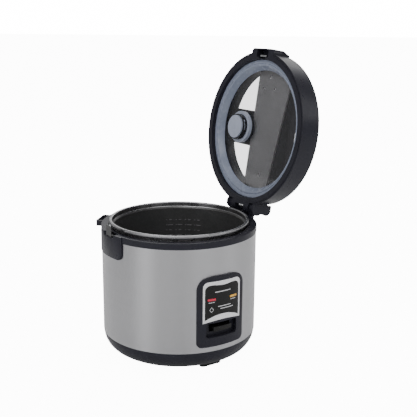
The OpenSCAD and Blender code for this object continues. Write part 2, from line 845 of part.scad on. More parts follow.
// Outline of the latch bump, seen from above; grow widens it all round
module bump_outline(grow) {
    depth = 20;
    translate([depth / 2 - bump_x, 0])
        round_rect(depth + 2 * grow, 2 * (bump_half + grow), 6 + grow);
}

module lid_frame() {
    color(plastic) lid_open() difference() {
        union() {
            rotate_extrude() polygon([
                [frame_in_r, lid_z0], [frame_r, lid_z0], [frame_r - 1.1, frame_z1], [frame_r - 4, frame_z1],
                [frame_r - 4, seat_z], [seat_r, seat_z], [seat_r, seat_z - 3], [98.9, seat_z - 3],
                [98.9, gasket_z + 3.2], [frame_in_r, gasket_z + 3.2]]);
            difference() {
                translate([0, 0, lid_z0]) linear_extrude(height = button_z0 - 0.7 - lid_z0) bump_outline(0);
                translate([0, 0, 0]) cylinder(h = far, r = frame_in_r + 1);
            }
            difference() {
                union() {
                    rod_y(hinge_x, hinge_z, barrel_r, -barrel_half, barrel_half);
                    block([hinge_x - 15, -barrel_half, lid_z0], [hinge_x, barrel_half, hinge_z + 8]);
                }
                cylinder(h = far, r = frame_in_r + 1);
            }
        }
        block([hole_x0, -hole_half, 0], [hole_x1, hole_half, lid_z0 + 12]);
        block([strip_x0 - 0.4, -strip_half - 0.6, 0], [strip_x1 + button_travel + 0.3, strip_half + 0.6, far]);
        difference() {
            button_room();
            cylinder(h = far, r = frame_r - 8);
        }
        ear_room();
        rod_y(hinge_x, hinge_z, pin_r + pin_gap, -far, far);
        rod_y(hinge_x, hinge_z, 6.2, -9.5, 11.5);
        block([hinge_x - 2, -9.5, lid_z0 - 10], [hinge_x + 20, 11.5, hinge_z + 2]);
        for (a = lid_screw_angles) rotate([0, 0, a]) translate([lid_screw_r, 0, 0]) {
            cylinder(h = gasket_z + 5.4, r = 2.9);
            cylinder(h = far, r = 1.7);
        }
    }
}

module lid_screws() {
    color(zinc) lid_open() for (a = lid_screw_angles) rotate([0, 0, a]) translate([lid_screw_r, 0, 0]) {
        translate([0, 0, gasket_z + 3.4]) cylinder(h = 1.9, r = 2.7);
        translate([0, 0, gasket_z + 5]) cylinder(h = 12, r = 1.5);
    }
}

module lid_glass() {
    color([0.80, 0.86, 0.88, 0.35]) lid_open() difference() {
        translate([0, 0, seat_z + 0.05]) cylinder(h = glass_t, r = glass_r);
        translate([vent_x, vent_y, 0]) cylinder(h = far, r = vent_tube_r + 0.3);
    }
}

module gasket() {
    color(silicone) lid_open() rotate_extrude() polygon([
        [97.5, gasket_z], [106.4, gasket_z], [106.4, gasket_z + 3], [98.7, gasket_z + 3],
        [92.2, seat_z - 0.1], [90.5, seat_z - 0.1]]);
}

// Edges of the plate: straight along the vent side, slanted along the panel side
module band_plate_outline(inset) {
    top = band_edge_vent - 1 - inset;
    polygon([[-far, top], [far, top], [far, 4 + inset], [81, inset - 27], [-60, inset - 47], [-far, inset - 80]]);
}

module band_plate() {
    z0 = band_z - 2.6;
    color([0.42, 0.42, 0.43]) lid_open() difference() {
        translate([0, 0, z0]) linear_extrude(height = 2.5) intersection() {
            circle(r = window_r - 0.5);
            band_plate_outline(0);
        }
        for (p = band_screw_points) translate([p[0], p[1], 0]) cylinder(h = far, r = 1.7);
        translate([vent_x, vent_y, 0]) cylinder(h = far, r = vent_tube_r + 0.3);
    }
}

module band_screws() {
    color(zinc) lid_open() for (p = band_screw_points) translate([p[0], p[1], 0]) {
        translate([0, 0, band_z - 4.2]) cylinder(h = 1.5, r = 3.2);
        translate([0, 0, band_z - 3]) cylinder(h = 8, r = 1.35);
    }
}

// Steam vent: pale seal under the glass, dark slotted body, removable cap and outlet
module vent_seal() {
    color(silicone) lid_open() translate([vent_x, vent_y, 0])
        tube(25, vent_tube_r + 0.05, seat_z - 5.6, seat_z - 0.05);
}

module vent_body() {
    z0 = seat_z - 12.8;
    slots = 4;
    color(dark_plastic) lid_open() translate([vent_x, vent_y, 0]) difference() {
        tube(vent_tube_r, vent_tube_r - 3, z0, dome_z - 5);
        for (i = [0 : slots - 1]) rotate([0, 0, 45 + i * 360 / slots])
            intersection() {
                tube(far, 5, z0 + 1.4, z0 + 5.4);
                rotate_extrude(angle = 56) square([far, far]);
            }
    }
}

module vent_cap() {
    z1 = seat_z - 13;
    lug_z = z1 + 2;
    color(silicone) lid_open() translate([vent_x, vent_y, 0]) {
        difference() {
            translate([0, 0, z1 - 2.6]) cylinder(h = 2.6, r = 18);
            translate([0, 0, z1 - 5]) cylinder(h = 10, r = 0.8);
        }
        tube(vent_tube_r - 3.3, vent_tube_r - 5, z1 - eps, z1 + 6);
        for (a = [55, 235]) sector(vent_tube_r - 0.8, vent_tube_r - 4, lug_z, lug_z + 2.6, a, 5);
    }
}

module vent_outlet() {
    color(dark_plastic) lid_open() translate([vent_x, vent_y, 0]) difference() {
        union() {
            translate([0, 0, dome_z - 5]) cylinder(h = 5.2, r = 13.8);
            translate([0, 0, dome_z + 0.1]) cylinder(h = 2, r = 18);
        }
        for (i = [-2 : 2]) block([-9, i * 4.4 - 1, 0], [9, i * 4.4 + 1, far]);
    }
}

// Release button, seen from the side and run across the lid
module release_button() {
    color([0.38, 0.38, 0.41]) lid_open() translate([0, button_half, 0]) rotate([90, 0, 0])
        linear_extrude(height = 2 * button_half) polygon([
            [-bump_x, button_z0], [-bump_x, button_z0 + 6], [-bump_x + 1.2, button_z0 + 9],
            [-lid_r + 1, lid_z1 - 0.4], [-lid_r + 4, lid_z1 + 0.8], [-105, lid_z1 + 0.8], [-105, lid_z1 - 1.6],
            [-111, lid_z1 - 2.4], [-111.5, button_z0]]);
}

module latch_strip() {
    z0 = lid_z0 + 2;
    color(steel) lid_open() {
        block([strip_x0 + 1.2, -strip_half, z0], [strip_x1, strip_half, button_z0 - 0.05]);
        block([strip_x0, -strip_half, z0], [strip_x1, strip_half, z0 + 3]);
    }
}

module button_spring() {
    color(zinc) lid_open() translate([-111.2 + 0.6, 0, button_z0 + 7]) rotate([0, 90, 0])
        coil_wire(3, 0.4, 2.2, 5);
}

outer_shell();
top_ring();
base_bowl();
bottom_plate();
bottom_screws();
feet();
inner_shell();
side_heater();
heating_plate();
heater_element();
plate_standoffs();
thermostat_sleeve();
sensor_spring();
sensor_cap();
magnet_plunger();
micro_switch();
thermal_fuse();
terminal_block();
mains_inlet();
inlet_pins();
control_panel();
badge_frame();
badge_face();
cook_lens();
warm_lens();
lamp_board();
indicator_lamps();
lever_pivot();
switch_lever();
lever_spring();
paddle_loop();
latch_catch();
hinge_ears();
hinge_pin();
hinge_spring();
inner_pot();
lid_cover();
lid_frame();
lid_screws();
lid_glass();
gasket();
band_plate();
band_screws();
vent_seal();
vent_body();
vent_cap();
vent_outlet();
release_button();
latch_strip();
button_spring();
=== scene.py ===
import json
import math

import bmesh
import bpy
from mathutils import Matrix, Vector


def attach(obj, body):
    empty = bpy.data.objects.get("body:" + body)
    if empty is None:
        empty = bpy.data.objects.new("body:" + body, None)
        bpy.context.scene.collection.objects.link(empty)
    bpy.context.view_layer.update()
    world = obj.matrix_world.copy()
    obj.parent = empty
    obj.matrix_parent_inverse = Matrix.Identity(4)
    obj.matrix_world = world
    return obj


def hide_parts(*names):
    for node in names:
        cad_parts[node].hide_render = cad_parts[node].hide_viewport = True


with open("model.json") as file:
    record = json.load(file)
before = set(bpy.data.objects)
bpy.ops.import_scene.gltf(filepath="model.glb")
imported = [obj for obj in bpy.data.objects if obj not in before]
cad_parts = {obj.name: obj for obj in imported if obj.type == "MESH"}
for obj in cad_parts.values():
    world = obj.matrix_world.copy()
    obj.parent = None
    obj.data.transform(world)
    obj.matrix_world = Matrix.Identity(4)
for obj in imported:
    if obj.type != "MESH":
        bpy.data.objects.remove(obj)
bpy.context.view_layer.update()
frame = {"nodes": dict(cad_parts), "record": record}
NODES = frame["nodes"]
RECORD = frame["record"]
SLOTS = {s["node"]: s["material_slot"] for s in RECORD["subparts"]}
MM = 0.001

# Main sizes of the cooker in millimetres, closed, standing on the table
SHELL_R = 115.0
SHELL_T = 0.6
SHELL_Z0, SHELL_Z1 = 34, 186
RING_R = 115.6
RING_Z1 = 195
TONGUE_R = 118.0
TONGUE_HALF_ANGLE = 15.3
CATCH_HALF_ANGLE = 6.95
CATCH_Z0 = 190.5
GLASS_R = 98
GLASS_Z0, GLASS_Z1 = 212.65, 216.25
BADGE_R = 117.7
BAND_Z = 221.3

# Lid's hinge in metres, and how far the lid stands open at rest
HINGE = Vector((0.120, 0, 0.206))
OPEN = math.radians(99)


# ---------------------------------------------------------------- materials

class Shader:
    """A node material built up step by step from object-space coordinates."""

    def __init__(self, name, color, rough, metal=0.0, spec=0.5):
        self.mat = bpy.data.materials.new(name)
        self.mat.use_nodes = True
        self.tree = self.mat.node_tree
        self.bsdf = self.tree.nodes["Principled BSDF"]
        self.coord = self.tree.nodes.new("ShaderNodeTexCoord").outputs["Object"]
        self.bsdf.inputs["Base Color"].default_value = (*color, 1)
        self.bsdf.inputs["Roughness"].default_value = rough
        self.bsdf.inputs["Metallic"].default_value = metal
        self.bsdf.inputs["Specular IOR Level"].default_value = spec
        self.color, self.rough = color, rough
        self.normal = None

    def set(self, **values):
        for key, value in values.items():
            self.bsdf.inputs[key.replace("_", " ")].default_value = value
        return self

    def link(self, a, b):
        self.tree.links.new(a, b)

    def mapped(self, scale):
        m = self.tree.nodes.new("ShaderNodeMapping")
        m.inputs["Scale"].default_value = scale
        self.link(self.coord, m.inputs["Vector"])
        return m.outputs["Vector"]

    def noise(self, scale, detail=4.0, stretch=(1, 1, 1), roughness=0.5):
        n = self.tree.nodes.new("ShaderNodeTexNoise")
        n.inputs["Scale"].default_value = scale
        n.inputs["Detail"].default_value = detail
        n.inputs["Roughness"].default_value = roughness
        self.link(self.mapped(stretch), n.inputs["Vector"])
        return n.outputs["Fac"]

    def radius(self):
        """Distance from the Z axis, for turned and brushed finishes."""
        sep = self.tree.nodes.new("ShaderNodeSeparateXYZ")
        self.link(self.coord, sep.inputs[0])
        parts = []
        for axis in ("X", "Y"):
            m = self.tree.nodes.new("ShaderNodeMath")
            m.operation = "MULTIPLY"
            self.link(sep.outputs[axis], m.inputs[0])
            self.link(sep.outputs[axis], m.inputs[1])
            parts.append(m.outputs[0])
        add = self.tree.nodes.new("ShaderNodeMath")
        add.operation = "ADD"
        self.link(parts[0], add.inputs[0])
        self.link(parts[1], add.inputs[1])
        root = self.tree.nodes.new("ShaderNodeMath")
        root.operation = "SQRT"
        self.link(add.outputs[0], root.inputs[0])
        return root.outputs[0]

    def ramp(self, fac, low, high, start=0.35, end=0.65):
        r = self.tree.nodes.new("ShaderNodeMapRange")
        r.inputs["From Min"].default_value = start
        r.inputs["From Max"].default_value = end
        r.inputs["To Min"].default_value = low
        r.inputs["To Max"].default_value = high
        self.link(fac, r.inputs["Value"])
        return r.outputs["Result"]

    def tint(self, fac, spread, start=0.3, end=0.7):
        """Varies the base colour about its value by the share given."""
        mix = self.tree.nodes.new("ShaderNodeMix")
        mix.data_type = "RGBA"
        mix.inputs[6].default_value = (*[c * (1 - spread) for c in self.color], 1)
        mix.inputs[7].default_value = (*[min(1, c * (1 + spread)) for c in self.color], 1)
        self.link(self.ramp(fac, 0, 1, start, end), mix.inputs["Factor"])
        self.link(mix.outputs[2], self.bsdf.inputs["Base Color"])
        return self

    def roughen(self, fac, spread):
        """Varies the roughness about its value by the amount given."""
        self.link(self.ramp(fac, self.rough - spread, self.rough + spread), self.bsdf.inputs["Roughness"])
        return self

    def bump(self, height, strength, distance=0.0001):
        b = self.tree.nodes.new("ShaderNodeBump")
        b.inputs["Strength"].default_value = strength
        b.inputs["Distance"].default_value = distance
        self.link(height, b.inputs["Height"])
        if self.normal is not None:
            self.link(self.normal, b.inputs["Normal"])
        self.normal = b.outputs["Normal"]
        self.link(self.normal, self.bsdf.inputs["Normal"])
        return self

    def soft_edges(self, radius=0.0006):
        """Rounds the look of edges that moulding or pressing leaves soft."""
        b = self.tree.nodes.new("ShaderNodeBevel")
        b.samples = 4
        b.inputs["Radius"].default_value = radius
        self.normal = b.outputs["Normal"]
        self.link(self.normal, self.bsdf.inputs["Normal"])
        return self


def moulded(name, color, rough, grain=0.25, spec=0.5):
    """Moulded plastic with a fine grain."""
    s = Shader(name, color, rough, spec=spec)
    s.tint(s.noise(18, 3), 0.10)
    s.roughen(s.noise(60, 4), 0.03)
    s.bump(s.noise(2600, 2), grain, 0.00003)
    return s.mat


def brushed(name, color, rough, strength=0.25):
    """Fine lines that run round the body, which spread its reflections up and down."""
    s = Shader(name, color, rough, metal=1.0)
    s.set(Anisotropic=0.85, Anisotropic_Rotation=0.25)
    lines = s.noise(1500, 3, (0.002, 0.002, 1.0), 0.6)
    broad = s.noise(9, 2, (1, 1, 0.05))
    s.tint(broad, 0.05)
    s.roughen(lines, 0.04)
    s.bump(lines, strength, 0.00003)
    return s.mat


def plated(name, color, rough):
    """Plated or pressed metal with soft edges."""
    s = Shader(name, color, rough, metal=1.0)
    s.soft_edges(0.0003)
    s.tint(s.noise(220, 4), 0.10)
    s.roughen(s.noise(90, 5), 0.10)
    s.bump(s.noise(700, 3), 0.05, 0.00003)
    return s.mat


def turned(name, color, rough):
    """Concentric tool marks about the body's axis."""
    s = Shader(name, color, rough, metal=1.0)
    wave = s.tree.nodes.new("ShaderNodeMath")
    wave.operation = "SINE"
    scale = s.tree.nodes.new("ShaderNodeMath")
    scale.operation = "MULTIPLY"
    scale.inputs[1].default_value = 9000
    s.link(s.radius(), scale.inputs[0])
    s.link(scale.outputs[0], wave.inputs[0])
    s.tint(s.noise(30, 3), 0.08)
    s.roughen(s.noise(200, 4), 0.08)
    s.bump(wave.outputs[0], 0.25, 0.00003)
    return s.mat


def rubbery(name, color, rough):
    """Rubber or silicone."""
    s = Shader(name, color, rough, spec=0.4)
    s.tint(s.noise(25, 3), 0.08)
    s.roughen(s.noise(120, 3), 0.06)
    s.bump(s.noise(1400, 2), 0.05, 0.00004)
    return s.mat


def clear(name, color, rough):
    """Solid clear glass that bends light."""
    s = Shader(name, color, rough)
    s.set(IOR=1.5, Transmission_Weight=1.0)
    s.roughen(s.noise(40, 2), 0.01)
    return s.mat


def pane(name, tint):
    """Thin clear glass: it lets straight light through and mirrors more at a slant."""
    s = Shader(name, tint, 0.03)
    s.roughen(s.noise(30, 3), 0.01)
    through = s.tree.nodes.new("ShaderNodeBsdfTransparent")
    through.inputs["Color"].default_value = (*tint, 1)
    shine = s.tree.nodes.new("ShaderNodeBsdfGlossy")
    shine.inputs["Roughness"].default_value = 0.04
    slant = s.tree.nodes.new("ShaderNodeLayerWeight")
    slant.inputs["Blend"].default_value = 0.3
    mix = s.tree.nodes.new("ShaderNodeMixShader")
    s.link(s.ramp(slant.outputs["Facing"], 0.02, 0.30, 0.1, 0.9), mix.inputs[0])
    s.link(through.outputs[0], mix.inputs[1])
    s.link(shine.outputs[0], mix.inputs[2])
    smear = s.noise(14, 4)
    s.link(s.ramp(smear, 0.02, 0.07), shine.inputs["Roughness"])
    s.link(mix.outputs[0], s.tree.nodes["Material Output"].inputs["Surface"])
    return s.mat


def make_materials():
    """Every material slot of the record, by name."""
    glossy = Shader("gloss_black", (0.004, 0.004, 0.004), 0.16, spec=0.3)
    glossy.roughen(glossy.noise(30, 3), 0.02)
    coat = Shader("pot_coating", (0.062, 0.062, 0.063), 0.36, metal=0.35)
    coat.tint(coat.noise(900, 2), 0.12)
    coat.roughen(coat.noise(50, 4), 0.05)
    coat.bump(coat.noise(1500, 2), 0.04, 0.00003)
    foil = Shader("heater_tape", (0.50, 0.38, 0.24), 0.75)
    foil.tint(foil.noise(700, 1, (1, 1, 0.15)), 0.25)
    foil.bump(foil.noise(900, 1, (1, 1, 0.1)), 0.5, 0.0002)
    red = Shader("red_lens", (0.62, 0.012, 0.05), 0.18)
    red.set(Coat_Weight=0.4)
    red.tint(red.noise(300, 1, (1, 0.1, 1)), 0.18)
    amber = Shader("amber_lens", (0.86, 0.46, 0.05), 0.18)
    amber.set(Coat_Weight=0.4)
    amber.tint(amber.noise(300, 1, (1, 0.1, 1)), 0.18)
    return {
        "brushed_shell": brushed("brushed_shell", (0.47, 0.47, 0.485), 0.32, 0.05),
        "grey_plastic": moulded("grey_plastic", (0.019, 0.019, 0.027), 0.30, 0.035, 0.18),
        "black_plastic": moulded("black_plastic", (0.009, 0.009, 0.010), 0.28, 0.035, 0.45),
        "gloss_black": glossy.mat,
        "silver_trim": plated("silver_trim", (0.90, 0.90, 0.92), 0.16),
        "red_lens": red.mat,
        "amber_lens": amber.mat,
        "lamp_glass": clear("lamp_glass", (0.95, 0.9, 0.85), 0.05),
        "pale_plastic": moulded("pale_plastic", (0.62, 0.58, 0.50), 0.5),
        "pale_silicone": rubbery("pale_silicone", (0.36, 0.395, 0.49), 0.33),
        "black_rubber": rubbery("black_rubber", (0.010, 0.010, 0.010), 0.7),
        "plated_steel": plated("plated_steel", (0.55, 0.56, 0.57), 0.32),
        "cast_aluminium": turned("cast_aluminium", (0.62, 0.62, 0.63), 0.35),
        "pot_aluminium": coat.mat,
        "heater_foil": foil.mat,
        "pin_brass": plated("pin_brass", (0.78, 0.60, 0.28), 0.25),
        "clear_glass": pane("clear_glass", (0.80, 0.80, 0.805)),
    }


MATS = make_materials()


def dress(node, mat):
    """Gives a CAD node its material; its shape isn't touched."""
    mesh = NODES[node].data
    mesh.materials.clear()
    mesh.materials.append(mat)


for n in NODES:
    dress(n, MATS[SLOTS[n]])
dress("band_plate", moulded("band_grey", (0.375, 0.37, 0.385), 0.35, 0.04))


# ---------------------------------------------------------------- mesh code

def finish_mesh(name, bm, mat, body, replaced=(), angle=32):
    """Turns a bmesh into a piece that rides a body and stands for CAD nodes."""
    bmesh.ops.remove_doubles(bm, verts=bm.verts, dist=1e-7)
    bmesh.ops.recalc_face_normals(bm, faces=bm.faces)
    mesh = bpy.data.meshes.new(name)
    bm.to_mesh(mesh)
    bm.free()
    mesh.shade_smooth()
    mesh.set_sharp_from_angle(angle=math.radians(angle))
    mesh.materials.append(mat)
    ob = bpy.data.objects.new(name, mesh)
    bpy.context.collection.objects.link(ob)
    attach(ob, body)
    if replaced:
        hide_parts(*replaced)
    return ob


def rounded(profile, radius, steps=4, keep=()):
    """Closed profile with each corner replaced by an arc."""
    out = []
    count = len(profile)
    for i, p in enumerate(profile):
        p = Vector(p)
        a, b = Vector(profile[i - 1]), Vector(profile[(i + 1) % count])
        u, v = (a - p), (b - p)
        if i in keep or u.length < 1e-9 or v.length < 1e-9:
            out.append(tuple(p))
            continue
        r = min(radius, u.length * 0.45, v.length * 0.45)
        bend = u.angle(v)
        if bend > math.radians(165):
            out.append(tuple(p))
            continue
        start, end = p + u.normalized() * r, p + v.normalized() * r
        for k in range(steps + 1):
            t = k / steps
            q = start * (1 - t) ** 2 + p * 2 * t * (1 - t) + end * t ** 2
            out.append(tuple(q))
    return out


def lathe(bm, profile, segments=192, start=0.0, end=360.0, centre=(0, 0)):
    """Revolves a closed profile in millimetres about a vertical axis."""
    full = abs(end - start) >= 359.999
    steps = max(2, round(segments * (end - start) / 360))
    count = steps if full else steps + 1
    rings = []
    for k in range(count):
        a = math.radians(start + (end - start) * k / steps)
        rings.append([
            bm.verts.new(((centre[0] + r * math.cos(a)) * MM, (centre[1] + r * math.sin(a)) * MM, z * MM))
            for r, z in profile])
    for k in range(steps):
        a, b = rings[k], rings[(k + 1) % count]
        for i in range(len(profile)):
            j = (i + 1) % len(profile)
            quad = [a[i], a[j], b[j], b[i]]
            if profile[i][0] < 1e-6 and profile[j][0] < 1e-6:
                continue
            bm.faces.new(quad)
    if not full:
        bm.faces.new(rings[0])
        bm.faces.new(list(reversed(rings[-1])))


def walled(bm, r_in, r_out, angles, heights, solid):
    """Tube wall built cell by cell, with a closed edge round each window."""
    count, rows = len(angles), len(heights) - 1
    grid = {}

    def vert(i, j, side):
        key = (i % count, j, side)
        if key not in grid:
            a, r = math.radians(angles[i % count]), (r_in, r_out)[side]
            grid[key] = bm.verts.new((r * math.cos(a) * MM, r * math.sin(a) * MM, heights[j] * MM))
        return grid[key]

    def filled(i, j):
        if not 0 <= j < rows:
            return False
        a, b = angles[i % count], angles[(i + 1) % count]
        b += 360 if b < a else 0
        return solid((a + b) / 2, (heights[j] + heights[j + 1]) / 2)

    for i in range(count):
        for j in range(rows):
            if not filled(i, j):
                continue
            for side in (0, 1):
                corners = ((i, j), (i + 1, j), (i + 1, j + 1), (i, j + 1))
                bm.faces.new([vert(m, n, side) for m, n in corners])
            for di, dj, a, b in ((-1, 0, (0, 0), (0, 1)), (1, 0, (1, 0), (1, 1)),
                                 (0, -1, (0, 0), (1, 0)), (0, 1, (0, 1), (1, 1))):
                if not filled(i + di, j + dj):
                    ends = [vert(i + a[0], j + a[1], 0), vert(i + b[0], j + b[1], 0),
                            vert(i + b[0], j + b[1], 1), vert(i + a[0], j + a[1], 1)]
                    bm.faces.new(ends)


def prism(bm, outline, low, high, place=Matrix.Identity(4), edge=0.0, steps=3):
    """Extrudes an outline in millimetres from low to high with rounded rims."""
    levels = [(low, 0), (high, 0)]
    if edge:
        turns = [math.pi / 2 * k / steps for k in range(steps + 1)]
        arc = [(edge * (1 - math.sin(t)), edge * (1 - math.cos(t))) for t in turns]
        levels = [(low + rise, inset) for rise, inset in reversed(arc)]
        levels += [(high - rise, inset) for rise, inset in arc]
    rings = []
    for z, inset in levels:
        pts = inset_outline(outline, inset)
        rings.append([bm.verts.new(place @ Vector((x * MM, y * MM, z * MM))) for x, y in pts])
    n = len(outline)
    for a, b in zip(rings, rings[1:]):
        for i in range(n):
            j = (i + 1) % n
            bm.faces.new([a[i], a[j], b[j], b[i]])
    bm.faces.new(list(reversed(rings[0])))
    bm.faces.new(rings[-1])


def inset_outline(outline, inset):
    """Outline, drawn anticlockwise, moved inwards all round."""
    if inset == 0:
        return outline
    out = []
    n = len(outline)
    for i in range(n):
        p, a, b = Vector(outline[i]), Vector(outline[i - 1]), Vector(outline[(i + 1) % n])
        d1, d2 = (p - a).normalized(), (b - p).normalized()
        normal = Vector((-(d1.y + d2.y), d1.x + d2.x))
        if normal.length < 1e-9:
            normal = Vector((-d1.y, d1.x))
        normal.normalize()
        scale = max(0.5, normal.dot(Vector((-d1.y, d1.x))))
        out.append(tuple(p + normal * inset / scale))
    return out


def round_box(half_w, half_h, r, steps=5, centre=(0, 0)):
    """Rectangle with round corners."""
    pts = []
    for cx, cy, a0 in ((1, 1, 0), (-1, 1, 90), (-1, -1, 180), (1, -1, 270)):
        for k in range(steps + 1):
            a = math.radians(a0 + 90 * k / steps)
            pts.append((centre[0] + cx * (half_w - r) + r * math.cos(a),
                        centre[1] + cy * (half_h - r) + r * math.sin(a)))
    return pts


LID = Matrix.Translation(HINGE) @ Matrix.Rotation(OPEN, 4, "Y") @ Matrix.Translation(-HINGE)


def lid_turned(bm):
    """Moves what was drawn closed to where the lid stands at rest."""
    bmesh.ops.transform(bm, matrix=LID, verts=bm.verts)
    return bm


# ---------------------------------------------------------------- pieces

def shell_piece():
    """Brushed shell, open behind the panel's finger recess and behind the mains inlet."""
    bm = bmesh.new()
    recess_z = (52.3, 80.2)
    inlet_z = (46.5, 73.5)
    recess = math.degrees(math.asin(28.7 / SHELL_R))
    inlet = math.degrees(math.asin(17 / SHELL_R))
    angles = sorted([k * 1.5 - 180 for k in range(240)]
                    + [-90 - recess, -90 + recess, 90 - inlet, 90 + inlet])
    heights = sorted([SHELL_Z0, SHELL_Z0 + 0.3, *recess_z, *inlet_z, SHELL_Z1 - 0.3, SHELL_Z1])

    def solid(angle, z):
        in_recess = abs(angle + 90) < recess and recess_z[0] < z < recess_z[1]
        in_inlet = abs(angle - 90) < inlet and inlet_z[0] < z < inlet_z[1]
        return not (in_recess or in_inlet)

    walled(bm, SHELL_R - SHELL_T, SHELL_R, angles, heights, solid)
    finish_mesh("shell_visual", bm, MATS["brushed_shell"], "cooker_body", ["outer_shell"])


def base_piece():
    """Bowl-shaped base with a fine step under the shell."""
    bm = bmesh.new()
    foot, top, z0, z1, wall = 89.0, 114.6, 5.5, 33.95, 2.5
    outer = [(foot + (top - foot) * math.cos(math.radians(a)), z1 - (z1 - z0) * math.sin(math.radians(a)))
             for a in range(0, 91, 5)]
    inner = [(foot + (top - foot) * math.cos(math.radians(a)) - wall,
              z1 - (z1 - z0 - wall) * math.sin(math.radians(a))) for a in range(90, -1, -5)]
    line = [(111.4, 39), (114.15, 39), (114.15, 34.2), (114.6, 33.95)] + outer[1:]
    line += [(78.3, z0), (78, z0 + 0.3), (78, 10), (80, 10)] + inner
    lathe(bm, line, 256)
    finish_mesh("base_visual", bm, MATS["grey_plastic"], "cooker_body", ["base_bowl"])


def feet_piece():
    """Three rubber pads with soft rims."""
    bm = bmesh.new()
    for angle in (-90, 30, 150):
        turn = Matrix.Rotation(math.radians(angle), 4, "Z")
        outline = round_box(5.5, 17.5, 5.4, 8, (86, 0))
        prism(bm, outline, 0, 5.4, turn, 0.9)
    finish_mesh("feet_visual", bm, MATS["black_rubber"], "cooker_body", ["feet"])


def ring_piece():
    """Top ring with rounded edges and its two tongues."""
    bm = bmesh.new()
    inner = [(104.5, 190.45), (110, 190.45), (110, 180), (114.15, 180), (114.15, 186.05), (RING_R, 186.05)]
    profile = inner + [(RING_R, RING_Z1), (104.5, RING_Z1)]
    open_half, step_half = 7.4, CATCH_HALF_ANGLE
    lathe(bm, rounded(profile, 0.9, 4, keep=range(6)), 256, 180 + open_half, 540 - open_half)
    cut = inner + [(RING_R, CATCH_Z0), (108.2, CATCH_Z0), (108.2, RING_Z1), (104.5, RING_Z1)]
    lathe(bm, cut, 256, 180 - step_half, 180 + step_half)
    for side, closed in ((0, True), (180, False)):
        tongue(bm, side, closed)
    finish_mesh("ring_visual", bm, MATS["grey_plastic"], "cooker_body", ["top_ring"],
                angle=28)


def tongue(bm, middle, closed):
    """Tongue below the ring, as a curved board with round lower corners and a soft rim."""
    r_in, r_out = 115.05, TONGUE_R
    low, high = 161.0, RING_Z1
    steps, corner, soft = 40, 8.0, 0.8
    wide = TONGUE_HALF_ANGLE * math.pi / 180 * r_out
    columns = []
    for k in range(steps + 1):
        s = -wide + 2 * wide * k / steps
        inside = wide - abs(s)
        lift = 0
        if inside < corner:
            lift = corner - math.sqrt(max(0, corner ** 2 - (corner - inside) ** 2))
        columns.append((middle + math.degrees(s / r_out), low + lift, inside))
    grid = []
    for angle, bottom, inside in columns:
        a = math.radians(angle)
        top = high
        if not closed and abs(angle - middle) < CATCH_HALF_ANGLE:
            top = CATCH_Z0
        rim = min(1.0, inside / soft)
        drop = soft * (1 - math.sqrt(max(0, 1 - (1 - rim) ** 2)))
        line = [(r_in, top), (r_out - soft - drop, top), (r_out - 0.25 - drop, top - 0.25),
                (r_out - drop, top - soft), (r_out - drop, bottom + soft),
                (r_out - 0.25 - drop, bottom + 0.25), (r_out - soft - drop, bottom), (r_in, bottom)]
        grid.append([bm.verts.new((r * math.cos(a) * MM, r * math.sin(a) * MM, z * MM)) for r, z in line])
    for a, b in zip(grid, grid[1:]):
        for i in range(8):
            j = (i + 1) % 8
            bm.faces.new([a[i], a[j], b[j], b[i]])
    bm.faces.new(grid[0])
    bm.faces.new(list(reversed(grid[-1])))


def pot_piece():
    """Pot with a rolled bare rim and a dark coating."""
    corner, wall, t, z0 = 14.0, 98.5, 1.5, 90.2
    outside = [(wall - corner + corner * math.cos(math.radians(a)),
                z0 + corner + corner * math.sin(math.radians(a))) for a in range(-90, 1, 10)]
    inside = [(wall - corner + (corner - t) * math.cos(math.radians(a)),
               z0 + corner + (corner - t) * math.sin(math.radians(a))) for a in range(0, -91, -10)]
    neck = [(wall, 191.5), (101.1, 194.9), (101.1, 197), (103.1, 197.9), (103.5, 198.9), (103.5, 201.7),
            (102.7, 202.5), (100.1, 202.5), (99.3, 201.5), (99.3, 195.5), (97, 192.1)]
    bare_z = 195.3
    bm = bmesh.new()
    lathe(bm, [(0, z0)] + outside + rounded(neck, 0.7, 4) + inside + [(0, z0 + t)], 256)
    ob = finish_mesh("pot_visual", bm, MATS["pot_aluminium"], "pot", ["inner_pot"], angle=50)
    ob.data.materials.append(POT_BARE)
    for face in ob.data.polygons:
        c = face.center
        r = math.hypot(c.x, c.y) / MM
        z = c.z / MM
        if z > bare_z or r > wall - 0.3 or z < z0 + 0.1:
            face.material_index = 1


def pot_marks():
    """Raised level marks on the far wall: plain dashes, long and short."""
    bm = bmesh.new()
    lowest, apart = 122, 8.5
    for angle in (40, 49, 58, 67):
        for k in range(7):
            mark(bm, angle, 4.6 if k % 2 else 2.4, lowest + k * apart)
            mark(bm, angle + 3.6, 1.0, lowest + k * apart)
    finish_mesh("pot_marks", bm, MARKS, "pot", ())


def mark(bm, angle, span, z):
    """One dash on the pot's wall, as wide as its span in degrees."""
    r_in, r_out, height = 96.75, 97.02, 0.9
    profile = [(r_in, z), (r_out, z), (r_out, z + height), (r_in, z + height)]
    lathe(bm, profile, 1440, angle - span / 2, angle + span / 2)


def gasket_piece():
    """Lip seal with a shallow groove in its face."""
    bm = bmesh.new()
    profile = [(97.5, 203.2), (99.9, 203.2), (100.6, 204.0), (101.3, 204.0), (102, 203.2),
               (106.4, 203.2), (106.4, 206.2), (98.7, 206.2), (92.2, 212.5), (90.5, 212.5)]
    lathe(bm, rounded(profile, 0.9, 4), 256)
    lid_turned(bm)
    # Its darker silicone is painted shade.
    finish_mesh("gasket_visual", bm, GASKET_SHADED, "lid", ["gasket"], angle=40)


